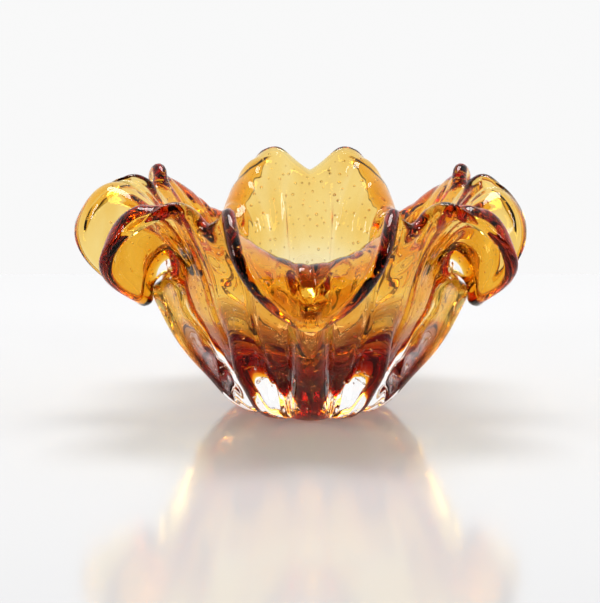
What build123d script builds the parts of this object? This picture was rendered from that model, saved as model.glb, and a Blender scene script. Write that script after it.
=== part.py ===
from build123d import *
import math
import os

os.makedirs("parts", exist_ok=True)

# An art glass bowl: a thick amber bowl cased in clear crystal, with a ribbed body and a rim
# worked into five drooping lobes. Millimetres, +Z up, the foot on Z = 0 and its centre at the origin.
# Azimuth 0 is the front lobe, on -Y, and azimuth 90 is on +X.

# ---- overall sizes ----
OVERALL = 1.0            # plain multiplier on every radius and height, 1 = real size
HEIGHT_K = 1.0           # multiplier on the heights above the foot alone
LOBES = 5                # drooping lobes round the rim
RIBS = 10                # mould-blown ribs round the body
WALL_HALF = 3.2          # half the thickness of the worked wall and rim
SKIN = 1.1               # clear skin over the amber on the outside of the worked wall
LIP_DROOP = 1.0          # multiplier on how far each lobe's middle droops
RIB_WIDTH = 11.0         # half-width of the ribs under the lobes, along the body's circle
SLIM_RIB_WIDTH = 8.5     # half-width of the shorter ribs between them
FOOT_GROOVE_R = 26.5     # foot outline radius between two ribs
FOOT_RIB_R = 30.5        # foot outline radius at a rib
CORE_BASE_R = 10.0       # flat disc under the amber
CORE_BASE_Z = 12.0       # clear glass under the amber
FLOOR_R = 9.0            # flat middle of the inside floor
STATIONS = 70           # points round each ring
RING_STEP = 8.0          # drawn rings are about this far apart up the wall
FUSE_GAP = 0.15          # drawn gap along the fused sides; the two touch on the base disc

BACK_LIFT = 5.0          # extra height of the two humps of the back rim
BACK_DIP = 1.25          # how much deeper the dip between those humps is than the other dips
FRONT_RISE = 0.45        # share of the sides' rise that the flatter front lobe keeps
PITCH = 360.0 / LOBES

# how far the two raised sides of each lobe curl out, left then right seen from above the middle
CURL = [(23.0, 22.0), (27.0, 17.5), (14.0, 13.5), (13.5, 15.0), (26.0, 29.0)]

# rings of the wall's middle sheet from the floor to the rim, each as
# (radius upright, added at a lobe's middle, added at its raised sides, added between lobes), then the heights
SHEET = [
    ((0.0, 0.0, 0.0, 0.0), (22.0, 0.0, 0.0, 0.0)),
    ((18.0, 0.0, 0.0, 0.0), (22.5, 0.0, 0.0, 0.0)),
    ((36.0, 0.0, 0.0, 0.0), (29.0, 0.0, 0.0, 0.0)),
    ((48.5, -0.5, 0.0, 0.0), (40.5, 0.0, 0.0, 0.0)),
    ((56.0, -2.0, 0.0, 0.0), (54.0, 0.0, 0.0, 0.0)),
    ((60.0, -4.0, 0.0, 0.0), (68.0, -2.0, 0.0, 0.0)),
    ((65.5, -4.5, 4.7, -2.0), (80.0, -6.5, 6.6, -5.0)),
    ((70.0, -1.5, 10.5, -3.0), (88.0, -13.7, 11.5, -6.0)),
    ((73.0, 2.0, 19.5, -2.5), (94.0, -28.0, 12.0, -7.0)),
    ((74.0, 3.0, 27.0, 0.0), (100.5, -47.0, 0.0, -9.5)),
]
TOP = len(SHEET) - 1

# rings of the ribbed outside below the worked wall: radius in a groove, radius on a rib, height,
# then how much of its swell a rib between two lobes keeps
BODY = [
    (FOOT_GROOVE_R, FOOT_RIB_R, 0.0, 1.0),
    (29.0, 36.5, 3.6, 1.0),
    (34.5, 46.0, 14.0, 1.0),
    (42.5, 56.0, 25.5, 0.85),
    (50.5, 64.5, 38.0, 0.4),
    (57.0, 70.5, 50.0, 0.1),
    (60.0, 72.0, 59.0, 0.0),
]

# rings of the amber's outside below the worked wall: radius, height
CORE = [
    (CORE_BASE_R, CORE_BASE_Z),
    (20.0, 14.0),
    (32.5, 20.6),
    (42.8, 30.4),
    (50.9, 43.2),
    (56.2, 55.5),
]

# the clear ridge that runs on under each lobe's middle from the neck to the rim, per ring:
# how far it stands out, then how wide it is
RIDGE = {5: (10.0, 8.5), 6: (8.5, 7.5), 7: (6.5, 6.5), 8: (3.5, 5.5), 9: (1.0, 5.0)}


# how flat the front lobe's middle is across, per ring: 2 is as rounded as the other lobes
FRONT_FLAT = [2.0, 2.0, 2.0, 3.0, 3.2, 3.2, 3.2, 3.2, 2.6, 2.0]


def lobe_of(az):
    k = round((az % 360.0) / PITCH) % LOBES
    off = (az - k * PITCH + 180.0) % 360.0 - 180.0
    return k, off


def weights(ring, az):
    # shares of each sheet term at this azimuth: lobe middle, curl out, curl up, dip between lobes, lift
    k, off = lobe_of(az)
    s = abs(off)
    front = k == 0
    back = (k == 2 and off > 0) or (k == 3 and off < 0)
    start = 19.0 if back else 25.0
    power = FRONT_FLAT[ring] if front else 2.0
    mid = (1.0 - (s / 27.5) ** power) ** 2 if s < 27.5 else 0.0
    side = max(math.sin(math.pi * s / 32.0), 0.0) ** 2.5 if s < 32.0 else 0.0
    gap = 0.5 - 0.5 * math.cos(math.pi * (s - start) / (36.0 - start)) if s > start else 0.0
    side *= (CURL[k][0] if off < 0 else CURL[k][1]) / 27.0
    rise = side * FRONT_RISE if front else side
    lift = BACK_LIFT * math.sin(math.pi * s / 44.0) ** 2 if back else 0.0
    return mid, side, rise, gap * (BACK_DIP if back else 1.0), lift


def sheet_point(ring, az):
    mid, side, rise, gap, lift = weights(ring, az)
    r, z = SHEET[ring]
    radius = r[0] + r[1] * mid + r[2] * side + r[3] * gap
    height = z[0] + z[1] * mid * LIP_DROOP + z[2] * rise + z[3] * gap
    height += lift * max(ring - 5, 0) / (TOP - 5)
    return polar(radius, az, height)


def polar(radius, az, height):
    a = math.radians(az)
    return Vector(radius * math.sin(a), -radius * math.cos(a), height)


def slope(ring, az):
    here = sheet_point(ring, az)
    low = sheet_point(ring - 1, az)
    if ring < TOP:
        up = (sheet_point(ring + 1, az) - low) * 0.5
    else:
        up = (here - low) * 1.5 - (low - sheet_point(ring - 2, az)) * 0.5
    around = sheet_point(ring, az + 0.5) - sheet_point(ring, az - 0.5)
    return around.cross(up).normalized(), up.normalized()


def sheet_frame(ring, az):
    # the wall's outward direction and its direction towards the rim, evened out along the ring
    out = Vector(0, 0, 0)
    up = Vector(0, 0, 0)
    for step, share in ((-4.0, 1.0), (-2.0, 2.0), (0.0, 3.0), (2.0, 2.0), (4.0, 1.0)):
        side, rise = slope(ring, az + step)
        out = out + side * share
        up = up + rise * share
    out = out.normalized()
    along = (up - out * up.dot(out)).normalized()
    return sheet_point(ring, az), out, along


def rib_swell(az, radius):
    slim = abs(lobe_of(az)[1]) > PITCH / 4.0
    pitch = 360.0 / RIBS
    off = abs((az + pitch / 2.0) % pitch - pitch / 2.0)
    half = min(SLIM_RIB_WIDTH if slim else RIB_WIDTH, math.radians(pitch / 2.0) * radius)
    c = math.cos(min(math.radians(off) * radius / half, 1.0) * math.pi / 2.0)
    return 1.2 * c - 0.2 * c * c


def ridge(ring, az):
    tall, wide = RIDGE[ring]
    t = math.radians(lobe_of(az)[1]) * 68.0
    return tall * math.exp(-((t / wide) ** 2))


def ring_points(point_at):
    return [point_at(i * 360.0 / STATIONS) for i in range(STATIONS)]


def body_ring(groove, rib, z, between):
    def point_at(az):
        swell = rib_swell(az, (groove + rib) / 2.0)
        if abs(lobe_of(az)[1]) > PITCH / 4.0:
            swell *= between
        return polar(groove + (rib - groove) * swell, az, z)
    return ring_points(point_at)


def round_ring(radius, z):
    return ring_points(lambda az: polar(radius, az, z))


def offset_ring(ring, offset_at):
    def point_at(az):
        here, out, along = sheet_frame(ring, az)
        return here + out * offset_at(az)
    return ring_points(point_at)


def rim_ring(angle, inset=0.0):
    # a ring on the rounded rim: angle 0 is the outside of the wall and 180 the inside
    a = math.radians(angle)

    def point_at(az):
        here, out, along = sheet_frame(TOP, az)
        half = WALL_HALF + ridge(TOP, az) * max(math.cos(a), 0.0)
        side = half * math.cos(a) - inset
        return here + out * side + along * (WALL_HALF * math.sin(a) - inset)
    return ring_points(point_at)


def bends(column, gaps):
    # second derivatives of a natural cubic through one station's points
    n = len(column)
    upper = [0.0] * n
    bend = [Vector(0, 0, 0)] * n
    for i in range(1, n - 1):
        g, h = gaps[i - 1], gaps[i]
        diag = 2.0 * (g + h) - g * upper[i - 1]
        upper[i] = h / diag
        rhs = (column[i + 1] - column[i]) * (6.0 / h) - (column[i] - column[i - 1]) * (6.0 / g)
        bend[i] = (rhs - bend[i - 1] * g) * (1.0 / diag)
    for i in range(n - 3, 0, -1):
        bend[i] = bend[i] - bend[i + 1] * upper[i]
    return bend


def wires_through(rings):
    columns = [[ring[i] for ring in rings] for i in range(STATIONS)]
    gaps = [[(c[k + 1] - c[k]).length for k in range(len(rings) - 1)] for c in columns]
    curves = [bends(c, g) for c, g in zip(columns, gaps)]
    steps = [(0, 0.0)]
    for k in range(len(rings) - 1):
        mean = sum(g[k] for g in gaps) / STATIONS
        n = max(1, round(mean / RING_STEP))
        steps += [(k, (i + 1) / n) for i in range(n)]
    turns = [i / STATIONS for i in range(STATIONS + 1)]
    wires = []
    for k, u in steps:
        pts = []
        for column, gap, bend in zip(columns, gaps, curves):
            h2 = gap[k] * gap[k] / 6.0
            p = column[k] * (1.0 - u) + column[k + 1] * u
            p = p + bend[k] * (((1.0 - u) ** 3 - (1.0 - u)) * h2)
            p = p + bend[k + 1] * ((u ** 3 - u) * h2)
            pts.append((p.X * OVERALL, p.Y * OVERALL, p.Z * OVERALL * HEIGHT_K))
        wires.append(Wire([Edge.make_spline(pts, periodic=True, parameters=turns)]))
    return wires


JOIN = math.degrees(math.acos((WALL_HALF - SKIN) / WALL_HALF))


def closed(first, second):
    # two smooth lofted sides that share their rim edge, closed by a flat disc at each far end
    faces = [Face(first[0]), Face(second[-1])]
    for wires in (first, second):
        faces += Shell.make_loft(wires, ruled=False).faces()
    return Solid(Shell(faces))


def wall(offset_at):
    return [offset_ring(k, lambda az, k=k: offset_at(k, az)) for k in range(5, TOP + 1)]


# ---- clear casing ----
outer = [body_ring(*row) for row in BODY]
outer += wall(lambda k, az: WALL_HALF + ridge(k, az))
outer += [rim_ring(JOIN / 2.0), rim_ring(JOIN)]
under = [round_ring(*row) for row in CORE]
under += wall(lambda k, az: WALL_HALF - SKIN)
under += [rim_ring(JOIN)]
clear_casing = closed(wires_through(outer), wires_through(under)[::-1])

# ---- amber bowl ----
core = [round_ring(*CORE[0])]
core += [round_ring(r - FUSE_GAP, z + FUSE_GAP) for r, z in CORE[1:]]
core += wall(lambda k, az: WALL_HALF - SKIN - FUSE_GAP)
core += [rim_ring(JOIN, FUSE_GAP)]
inside = [rim_ring(JOIN, FUSE_GAP)]
inside += [rim_ring(a) for a in (80.0, 110.0, 145.0)]
inside += [offset_ring(k, lambda az: -WALL_HALF) for k in range(TOP, 0, -1)]
inside += [round_ring(FLOOR_R, SHEET[1][1][0] + WALL_HALF - 0.35)]
amber_bowl = closed(wires_through(core), wires_through(inside))

for name, shape in (("clear_casing", clear_casing), ("amber_bowl", amber_bowl)):
    print(name, shape.is_valid, round(shape.volume))
    export_step(shape, "parts/" + name + ".step")
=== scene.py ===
import math

import bpy
import numpy as np
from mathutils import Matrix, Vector


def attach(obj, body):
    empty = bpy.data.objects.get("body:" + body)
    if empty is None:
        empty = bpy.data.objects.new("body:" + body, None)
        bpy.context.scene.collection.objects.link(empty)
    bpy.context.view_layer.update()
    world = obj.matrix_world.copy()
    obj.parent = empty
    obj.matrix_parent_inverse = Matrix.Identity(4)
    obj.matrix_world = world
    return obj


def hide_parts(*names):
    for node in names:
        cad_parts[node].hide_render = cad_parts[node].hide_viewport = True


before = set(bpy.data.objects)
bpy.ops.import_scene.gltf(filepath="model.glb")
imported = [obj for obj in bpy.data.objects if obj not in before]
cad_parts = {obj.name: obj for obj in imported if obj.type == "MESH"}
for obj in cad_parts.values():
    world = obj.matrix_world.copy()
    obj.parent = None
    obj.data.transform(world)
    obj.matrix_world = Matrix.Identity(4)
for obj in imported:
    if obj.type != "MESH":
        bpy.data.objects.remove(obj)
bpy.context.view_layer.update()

MM = 0.001
LOBES, RIBS = 5, 10
PITCH = 360.0 / LOBES
HALF = 3.2          # half the wall
SKIN = 1.1          # clear glass outside the amber on the worked wall
N_AZ = 720          # points round each ring
N_TOP = 9           # the rim's ring in SHEET
ROW_STEP = 1.6      # mm between drawn rows
MID_SPAN = 27.5     # degrees from a lobe's middle to where its crest ends
BACK_LIFT, BACK_DIP = 5.0, 1.25     # the two back lobes stand higher and meet in a deeper notch
FRONT_RISE = 0.45   # the front lobe's curls rise less than the others
BODY_RIB, SLIM_RIB = 11.0, 8.5      # half-widths of the ribs
FLOOR_R, FLOOR_Z = 9.0, 25.35       # flat middle of the inside
AZ = np.arange(N_AZ) * 360.0 / N_AZ
DIR = np.stack([np.sin(np.radians(AZ)), -np.cos(np.radians(AZ))], 1)

# ---------------------------------------------------------------- the bowl's shape, as in the CAD
CURL = np.array([(23.0, 22.0), (27.0, 17.5), (14.0, 13.5), (13.5, 15.0), (26.0, 29.0)])
SHEET = [
    ((0.0, 0.0, 0.0, 0.0), (22.0, 0.0, 0.0, 0.0)),
    ((18.0, 0.0, 0.0, 0.0), (22.5, 0.0, 0.0, 0.0)),
    ((36.0, 0.0, 0.0, 0.0), (29.0, 0.0, 0.0, 0.0)),
    ((48.5, -0.5, 0.0, 0.0), (40.5, 0.0, 0.0, 0.0)),
    ((56.0, -2.0, 0.0, 0.0), (54.0, 0.0, 0.0, 0.0)),
    ((60.0, -4.0, 0.0, 0.0), (68.0, -2.0, 0.0, 0.0)),
    ((65.5, -4.5, 4.7, -2.0), (80.0, -6.5, 6.6, -5.0)),
    ((70.0, -1.5, 10.5, -3.0), (88.0, -13.7, 11.5, -6.0)),
    ((73.0, 2.0, 19.5, -2.5), (94.0, -28.0, 12.0, -7.0)),
    ((74.0, 3.0, 27.0, 0.0), (100.5, -47.0, 0.0, -9.5)),
]
BODY = [
    (26.5, 30.5, 0.0, 1.0),
    (29.0, 36.5, 3.6, 1.0),
    (34.5, 46.0, 14.0, 1.0),
    (42.5, 56.0, 25.5, 0.85),
    (50.5, 64.5, 38.0, 0.4),
    (57.0, 70.5, 50.0, 0.1),
    (60.0, 72.0, 59.0, 0.0),
]
CORE = [(10.0, 12.0), (20.0, 14.0), (32.5, 20.6), (42.8, 30.4), (50.9, 43.2), (56.2, 55.5)]
FRONT_FLAT = [2.0, 2.0, 2.0, 3.0, 3.2, 3.2, 3.2, 3.2, 2.6, 2.0]
RIDGE = {5: (10.0, 8.5), 6: (8.5, 7.5), 7: (6.5, 6.5), 8: (3.5, 5.5), 9: (1.0, 5.0)}


def lobe_off(az):
    k = np.round(np.mod(az, 360.0) / PITCH).astype(int) % LOBES
    off = (np.mod(az, 360.0) - k * PITCH + 180.0) % 360.0 - 180.0
    return k, off


def sheet_ring(ring, az):
    k, off = lobe_off(az)
    s = np.abs(off)
    front = k == 0
    back = ((k == 2) & (off > 0)) | ((k == 3) & (off < 0))
    start = np.where(back, 19.0, 25.0)
    mid = np.clip(1 - (s / MID_SPAN) ** np.where(front, FRONT_FLAT[ring], 2.0), 0, 1) ** 2
    side = np.where(s < 32, np.clip(np.sin(np.pi * s / 32), 0, 1) ** 2.5, 0)
    side = side * np.where(off < 0, CURL[k, 0], CURL[k, 1]) / 27.0
    rise = side * np.where(front, FRONT_RISE, 1.0)
    gap = np.where(s > start, 0.5 - 0.5 * np.cos(np.pi * (s - start) / (PITCH / 2 - start)), 0)
    gap = gap * np.where(back, BACK_DIP, 1.0)
    lift = np.where(back, BACK_LIFT * np.sin(np.pi * s / 44) ** 2, 0)
    r, z = SHEET[ring]
    radius = r[0] + r[1] * mid + r[2] * side + r[3] * gap
    height = z[0] + z[1] * mid + z[2] * rise + z[3] * gap + lift * max(ring - 5, 0) / (N_TOP - 5)
    a = np.radians(az)
    return np.stack([radius * np.sin(a), -radius * np.cos(a), height], -1)


def unit(v):
    return v / np.maximum(np.linalg.norm(v, axis=-1, keepdims=True), 1e-9)


def sheet_frame(ring):
    here = sheet_ring(ring, AZ)
    low = sheet_ring(ring - 1, AZ)
    if ring < N_TOP:
        up = (sheet_ring(ring + 1, AZ) - low) * 0.5
    else:
        up = (here - low) * 1.5 - (low - sheet_ring(ring - 2, AZ)) * 0.5
    around = sheet_ring(ring, AZ + 0.5) - sheet_ring(ring, AZ - 0.5)
    out, up = unit(np.cross(around, up)), unit(up)
    even = ((-4, 1), (-2, 2), (0, 3), (2, 2), (4, 1))
    out = unit(sum(np.roll(out, -step * 2, 0) * share for step, share in even))
    up = sum(np.roll(up, -step * 2, 0) * share for step, share in even)
    along = unit(up - out * (up * out).sum(-1, keepdims=True))
    return here, out, along


def rib_swell(radius):
    pitch = 360.0 / RIBS
    off = np.abs((AZ + pitch / 2) % pitch - pitch / 2)
    slim = np.abs(lobe_off(AZ)[1]) > PITCH / 4
    half = np.minimum(np.where(slim, SLIM_RIB, BODY_RIB), math.radians(pitch / 2) * radius)
    c = np.cos(np.clip(np.radians(off) * radius / half, 0, 1) * np.pi / 2)
    return 1.2 * c - 0.2 * c * c


def ridge(ring):
    tall, wide = RIDGE[ring]
    t = np.radians(lobe_off(AZ)[1]) * 68.0
    return tall * np.exp(-((t / wide) ** 2))


def across(az, centre, radius, wide):
    """A soft bump wide millimetres across, centred on one azimuth."""
    t = np.radians((az - centre + 180.0) % 360.0 - 180.0) * radius
    return np.exp(-((t / wide) ** 2))


def creases(height):
    """Narrow grooves up both sides of the ribs between the lobes."""
    depth = 1.1 * min(max((height - 22.0) / 16.0, 0.0), 1.0) * min(max((92.0 - height) / 14.0, 0.0), 1.0)
    total = np.zeros(N_AZ)
    for k in range(LOBES):
        for side in (-10.5, 10.5):      # degrees from the rib's middle
            total += across(AZ, PITCH * (k + 0.5) + side, 62.0, 1.3)
    return depth * total


def folds(ring, seed, most):
    """Shallow folds that run up a lobe where the soft glass was pulled out."""
    share = (0, 0, 0, 0, 0.1, 0.35, 0.8, 1.0, 1.0, 0)[ring]
    rng = np.random.default_rng(seed)
    total = np.zeros(N_AZ)
    for k in range(LOBES):
        for centre in np.linspace(-27, 27, 9):
            at = centre + rng.normal(0, ROW_STEP) + rng.normal(0, 0.9) * (ring - 7)
            deep = most * (0.35 + 0.65 * rng.random())
            total += deep * across(AZ, PITCH * k + at, 70.0, 1.2 + 1.2 * rng.random())
    return share * np.minimum(total, most)


def flutes(height):
    """The fine drawn lines in the clear glass near the foot."""
    depth = 0.28 * min(max((34.0 - height) / 14.0, 0.0), 1.0)
    a = np.radians(AZ)
    return depth * (0.5 - 0.3 * np.cos(60 * a) - 0.2 * np.cos(37 * a + 0.7))


def polar(radius, z):
    radius = np.broadcast_to(radius, (N_AZ,))
    return np.concatenate([DIR * radius[:, None], np.full((N_AZ, 1), float(z))], 1)


def body_ring(groove, rib, z, between):
    keep = np.where(np.abs(lobe_off(AZ)[1]) > PITCH / 4, between, 1.0)
    radius = groove + (rib - groove) * rib_swell((groove + rib) / 2) * keep
    return polar(radius - flutes(z) - creases(z), z)


def offset_ring(ring, off):
    here, out, along = sheet_frame(ring)
    return here + out * np.broadcast_to(off, (N_AZ,))[:, None]


def rim_ring(angle, inset=0.0):
    a = math.radians(angle)
    here, out, along = sheet_frame(N_TOP)
    half = HALF + ridge(N_TOP) * max(math.cos(a), 0.0)
    side = half * math.cos(a) - inset * math.cos(a)
    return here + out * side[:, None] + along * ((HALF - inset) * math.sin(a))


def through(rings, step):
    """A natural cubic up each column of points, drawn about every step millimetres."""
    P = np.array(rings)
    K = len(P)
    g = np.maximum(np.linalg.norm(P[1:] - P[:-1], axis=-1), 1e-6)[..., None]
    upper = np.zeros((K,) + g.shape[1:])
    bend = np.zeros_like(P)
    for i in range(1, K - 1):
        diag = 2 * (g[i - 1] + g[i]) - g[i - 1] * upper[i - 1]
        upper[i] = g[i] / diag
        rhs = (P[i + 1] - P[i]) * 6 / g[i] - (P[i] - P[i - 1]) * 6 / g[i - 1]
        bend[i] = (rhs - bend[i - 1] * g[i - 1]) / diag
    for i in range(K - 3, 0, -1):
        bend[i] = bend[i] - bend[i + 1] * upper[i]
    rows = [P[0]]
    for k in range(K - 1):
        n = max(1, round(float(g[k].mean()) / step))
        h2 = g[k] ** 2 / 6
        for i in range(1, n + 1):
            u = i / n
            rows.append(P[k] * (1 - u) + P[k + 1] * u + bend[k] * ((1 - u) ** 3 - (1 - u)) * h2
                        + bend[k + 1] * (u ** 3 - u) * h2)
    return np.array(rows)


def closed_mesh(name, rows):
    """Rings from the base's middle, up the outside, over the rim and down to the inside's middle."""
    V = np.array(rows)
    nr, nc = V.shape[:2]
    ends = np.array([V[0].mean(0), V[-1].mean(0)])
    verts = np.vstack([V.reshape(-1, 3), ends]) * MM
    i, j = np.meshgrid(np.arange(nr - 1), np.arange(nc), indexing="ij")
    j2 = (j + 1) % nc
    quads = np.stack([i * nc + j, i * nc + j2, (i + 1) * nc + j2, (i + 1) * nc + j], -1).reshape(-1, 4)
    b, t = nr * nc, nr * nc + 1
    faces = quads.tolist()
    last = (nr - 1) * nc
    for q in range(nc):
        q2 = (q + 1) % nc
        faces.append((b, q2, q))
        faces.append((t, last + q, last + q2))
    me = bpy.data.meshes.new(name)
    me.from_pydata(verts.tolist(), [], faces)
    me.update()
    me.polygons.foreach_set("use_smooth", [True] * len(me.polygons))
    obj = bpy.data.objects.new(name, me)
    bpy.context.scene.collection.objects.link(obj)
    return obj


def wall(off):
    return [offset_ring(k, off(k)) for k in range(5, N_TOP + 1)]


def glass_rows():
    outside = [body_ring(*row) for row in BODY]
    outside += wall(lambda k: HALF + ridge(k) - creases(SHEET[k][1][0]) * (k < 8) - folds(k, 5, 0.6))
    inside = [offset_ring(k, folds(k, 8, 0.9) - HALF) for k in range(N_TOP, 0, -1)]
    inside += [polar(FLOOR_R, FLOOR_Z)]
    rim = [rim_ring(a) for a in (0, 30, 60, 90, 120, 150, 180)]
    return list(through(outside, ROW_STEP)) + rim[1:-1] + list(through(inside, ROW_STEP))


def amber_rows(inset=0.12):
    core = [polar(*row) for row in CORE]
    core += wall(lambda k: HALF - SKIN - 0.6 * creases(SHEET[k][1][0]) * (k < 8))
    inside = [offset_ring(k, folds(k, 8, 0.9) - HALF + inset) for k in range(N_TOP, 0, -1)]
    inside += [polar(FLOOR_R, FLOOR_Z - inset)]
    rim = [rim_ring(a, 0.5) for a in (75, 100, 125, 150)]
    return list(through(core, ROW_STEP)) + rim + list(through(inside, ROW_STEP))


# ---------------------------------------------------------------- materials
def nodes_of(name):
    m = bpy.data.materials.new(name)
    m.use_nodes = True
    nt = m.node_tree
    nt.nodes.clear()
    return m, nt, nt.nodes.new("ShaderNodeOutputMaterial"), nt.nodes.new("ShaderNodeBsdfPrincipled")


def wavy(nt, scale, strength, distance):
    """Slight unevenness of hand-worked glass."""
    tex = nt.nodes.new("ShaderNodeTexCoord")
    noise = nt.nodes.new("ShaderNodeTexNoise")
    noise.inputs["Scale"].default_value = scale
    noise.inputs["Detail"].default_value = 1.0
    nt.links.new(tex.outputs["Object"], noise.inputs["Vector"])
    bump = nt.nodes.new("ShaderNodeBump")
    bump.inputs["Strength"].default_value = strength
    bump.inputs["Distance"].default_value = distance
    nt.links.new(noise.outputs["Fac"], bump.inputs["Height"])
    return bump


def streaks(nt, p, pale, dark, scale, stretch):
    """Uneven colour, drawn out upwards."""
    tex = nt.nodes.new("ShaderNodeTexCoord")
    size = nt.nodes.new("ShaderNodeMapping")
    size.inputs["Scale"].default_value = (1, 1, stretch)
    noise = nt.nodes.new("ShaderNodeTexNoise")
    noise.inputs["Scale"].default_value = scale
    noise.inputs["Detail"].default_value = 3.0
    ramp = nt.nodes.new("ShaderNodeValToRGB")
    ramp.color_ramp.elements[0].position = 0.36
    ramp.color_ramp.elements[0].color = (*dark, 1)
    ramp.color_ramp.elements[1].position = 0.56
    ramp.color_ramp.elements[1].color = (*pale, 1)
    nt.links.new(tex.outputs["Object"], size.inputs["Vector"])
    nt.links.new(size.outputs["Vector"], noise.inputs["Vector"])
    nt.links.new(noise.outputs["Fac"], ramp.inputs["Fac"])
    nt.links.new(ramp.outputs["Color"], p.inputs["Base Color"])


def glass(name, ior, wave=None, absorb=None, density=0.0, streak=None):
    m, nt, out, p = nodes_of(name)
    p.inputs["Base Color"].default_value = (1, 1, 1, 1)
    p.inputs["Roughness"].default_value = 0.0
    p.inputs["IOR"].default_value = ior
    p.inputs["Transmission Weight"].default_value = 1.0
    nt.links.new(p.outputs[0], out.inputs["Surface"])
    if wave:
        bump = wavy(nt, *wave)
        nt.links.new(bump.outputs["Normal"], p.inputs["Normal"])
    if ior > 1.0:
        p.inputs["Specular Tint"].default_value = (0.4, 0.4, 0.4, 1)
    if streak:
        streaks(nt, p, *streak)
    if absorb:
        v = nt.nodes.new("ShaderNodeVolumeAbsorption")
        v.inputs["Color"].default_value = (*absorb, 1)
        v.inputs["Density"].default_value = density
        nt.links.new(v.outputs[0], out.inputs["Volume"])
    return m


# ---------------------------------------------------------------- the bowl
casing = closed_mesh("clear_crystal", glass_rows())
casing.data.materials.append(glass("clear_crystal_glass", 1.5, wave=(38.0, 0.25, 0.0006)))
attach(casing, "root")
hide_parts("clear_casing")

amber = closed_mesh("amber_layer", amber_rows())
amber.data.materials.append(glass(
    "amber_glass", 1.0, absorb=(0.978, 0.832, 0.30), density=400.0,
    streak=((1.0, 1.0, 1.0), (0.95, 0.86, 0.66), 75.0, 0.3)))
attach(amber, "root")
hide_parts("amber_bowl")


def heart_rows():
    """The deeper, redder glass in the middle of the thick base."""
    low = [polar(5.0, 12.6), polar(16.0, 13.9), polar(29.5, 19.7), polar(41.0, 30.4), polar(49.2, 43.4)]
    top = [polar(48.6, 43.8), polar(43.0, 35.4), polar(34.5, 29.0), polar(18.0, 25.0), polar(6.0, 24.3)]
    return list(through(low, ROW_STEP)) + list(through(top, ROW_STEP))


heart = closed_mesh("amber_heart", heart_rows())
heart.data.materials.append(glass(
    "deep_amber_glass", 1.0, absorb=(0.66, 0.06, 0.01), density=130.0,
    streak=((1.0, 1.0, 1.0), (0.9, 0.7, 0.5), 60.0, 0.5)))
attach(heart, "root")
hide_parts("amber_bowl")


# ---------------------------------------------------------------- air bubbles
def bubbles():
    """Small spheres of air: spaced through the wall, and scattered in the thick base."""
    rng = np.random.default_rng(11)
    mid_rows = through([sheet_ring(k, AZ) for k in range(1, N_TOP + 1)], 1.0)
    d = np.linalg.norm(mid_rows[1:] - mid_rows[:-1], axis=-1).mean(1)
    arc = np.concatenate([[0], np.cumsum(d)])
    centres, radii = [], []
    for n, s in enumerate(np.arange(6.0, arc[-1] - 3.0, 5.0)):
        row = mid_rows[np.searchsorted(arc, s)]
        ring_r = np.linalg.norm(row[:, :2], axis=1).mean()
        count = max(int(2 * np.pi * ring_r / 5.2), 8)
        for c in range(count):
            a = (c + 0.5 * (n % 2) + rng.normal(0, 0.12)) / count
            i = int(round(a * N_AZ)) % N_AZ
            jitter = rng.normal(0, 0.7, 3)
            jitter[2] *= 0.8
            centres.append(row[i] + jitter)
            radii.append(0.34 + 0.4 * rng.random() ** 2)
    for c in range(260):
        r = 40 * math.sqrt(rng.random())
        t = rng.random() * 2 * math.pi
        top = 21.0 + 0.006 * r * r
        low = 9.5 + max(r - 16, 0) * 0.42
        if top - low < 3:
            continue
        centres.append(np.array([r * math.sin(t), -r * math.cos(t), low + (top - low) * rng.random()]))
        radii.append(0.4 + 0.4 * rng.random() ** 2)
    nu, nv = 10, 6
    unit_v = [(0, 0, -1)]
    for q in range(1, nv):
        f = -math.pi / 2 + math.pi * q / nv
        for w in range(nu):
            g = 2 * math.pi * w / nu
            unit_v.append((math.cos(f) * math.cos(g), math.cos(f) * math.sin(g), math.sin(f)))
    unit_v.append((0, 0, 1))
    unit_f = []
    for w in range(nu):
        w2 = (w + 1) % nu
        unit_f.append((0, 1 + w2, 1 + w))
        for q in range(nv - 2):
            a = 1 + q * nu
            unit_f.append((a + w, a + w2, a + nu + w2, a + nu + w))
        a = 1 + (nv - 2) * nu
        unit_f.append((a + w, a + w2, len(unit_v) - 1))
    unit_v = np.array(unit_v)
    verts, faces = [], []
    for k, (c, r) in enumerate(zip(centres, radii)):
        verts.append((unit_v * r + c) * MM)
        base = k * len(unit_v)
        faces += [tuple(base + x for x in f) for f in unit_f]
    me = bpy.data.meshes.new("air_bubbles")
    me.from_pydata(np.vstack(verts).tolist(), [], faces)
    me.update()
    me.polygons.foreach_set("use_smooth", [True] * len(me.polygons))
    obj = bpy.data.objects.new("air_bubbles", me)
    bpy.context.scene.collection.objects.link(obj)
    obj.data.materials.append(glass(
        "bubble_air", 1 / 1.3, streak=((1.0, 1.0, 1.0), (0.96, 0.93, 0.88), 300.0, 1.0)))
    return obj


air = bubbles()
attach(air, "root")


# ---------------------------------------------------------------- floor, light and camera
def floor():
    me = bpy.data.meshes.new("floor")
    me.from_pydata([(-3, -3, 0), (3, -3, 0), (3, 0.28, 0), (-3, 0.28, 0)], [], [(0, 1, 2, 3)])
    obj = bpy.data.objects.new("floor", me)
    bpy.context.scene.collection.objects.link(obj)
    m, nt, out, p = nodes_of("white_table")
    p.inputs["Base Color"].default_value = (0.53, 0.53, 0.535, 1)
    p.inputs["Roughness"].default_value = 0.13
    p.inputs["Specular IOR Level"].default_value = 1.0
    p.inputs["Emission Color"].default_value = (0.985, 0.985, 1.0, 1)
    p.inputs["Emission Strength"].default_value = 0.12
    nt.links.new(p.outputs[0], out.inputs["Surface"])
    me.materials.append(m)
    obj.location.z = -0.0003


floor()


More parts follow.
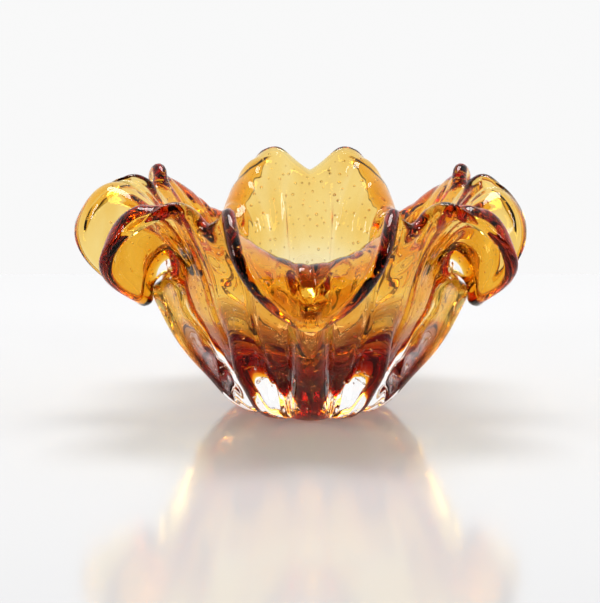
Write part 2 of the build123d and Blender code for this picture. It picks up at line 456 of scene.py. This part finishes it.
def studio():
    """White behind and above, dark on the camera's side, as in a backlit product shot."""
    w = bpy.data.worlds.new("studio")
    bpy.context.scene.world = w
    w.use_nodes = True
    nt = w.node_tree
    bg = nt.nodes["Background"]
    tex = nt.nodes.new("ShaderNodeTexCoord")
    split = nt.nodes.new("ShaderNodeSeparateXYZ")
    nt.links.new(tex.outputs["Generated"], split.inputs[0])
    ramp = nt.nodes.new("ShaderNodeMapRange")
    ramp.interpolation_type = "SMOOTHSTEP"
    for key, value in (("From Min", -0.55), ("From Max", 0.35), ("To Min", 0.06), ("To Max", 0.98)):
        ramp.inputs[key].default_value = value
    nt.links.new(split.outputs["Y"], ramp.inputs["Value"])
    seen = nt.nodes.new("ShaderNodeLightPath")
    mix = nt.nodes.new("ShaderNodeMix")
    mix.inputs["B"].default_value = 0.945
    nt.links.new(seen.outputs["Is Camera Ray"], mix.inputs["Factor"])
    nt.links.new(ramp.outputs["Result"], mix.inputs["A"])
    bg.inputs["Color"].default_value = (1, 1, 1, 1)
    nt.links.new(mix.outputs["Result"], bg.inputs["Strength"])


studio()


def area(name, loc, target, size, power):
    L = bpy.data.lights.new(name, "AREA")
    L.energy = power
    L.shape = "RECTANGLE"
    L.size, L.size_y = size
    o = bpy.data.objects.new(name, L)
    bpy.context.scene.collection.objects.link(o)
    o.location = loc
    o.rotation_mode = "QUATERNION"
    o.rotation_quaternion = (Vector(target) - Vector(loc)).to_track_quat("-Z", "Y")


area("top", (0, 0.25, 0.95), (0, 0, 0.05), (0.5, 0.3), 7)
area("left", (-0.75, -0.35, 0.6), (0, 0, 0.08), (0.12, 0.4), 2.2)
area("right", (0.75, -0.35, 0.6), (0, 0, 0.08), (0.12, 0.4), 2.2)


VIEW = 270.144 * MM         # height of the view, at the bowl
AIM_X = -4.48 * MM          # centre of the view, from the middle of the foot
AIM_UP = 45.92 * MM
DISTANCE = 1.6
ELEVATION = math.radians(12.5)


def camera():
    cam = bpy.data.cameras.new("cam")
    cam.sensor_width = 36
    cam.lens = cam.sensor_width * DISTANCE / VIEW
    obj = bpy.data.objects.new("cam", cam)
    bpy.context.scene.collection.objects.link(obj)
    up = Vector((0, math.sin(ELEVATION), math.cos(ELEVATION)))
    aim = Vector((AIM_X, 0, 0)) + up * AIM_UP
    obj.location = aim + Vector((0, -math.cos(ELEVATION), math.sin(ELEVATION))) * DISTANCE
    obj.rotation_mode = "QUATERNION"
    obj.rotation_quaternion = (aim - obj.location).to_track_quat("-Z", "Y")
    return obj


scene = bpy.context.scene
scene.camera = camera()
scene.view_settings.view_transform = "Standard"
scene.cycles.max_bounces = 32
scene.cycles.transmission_bounces = 32
scene.cycles.use_denoising = True
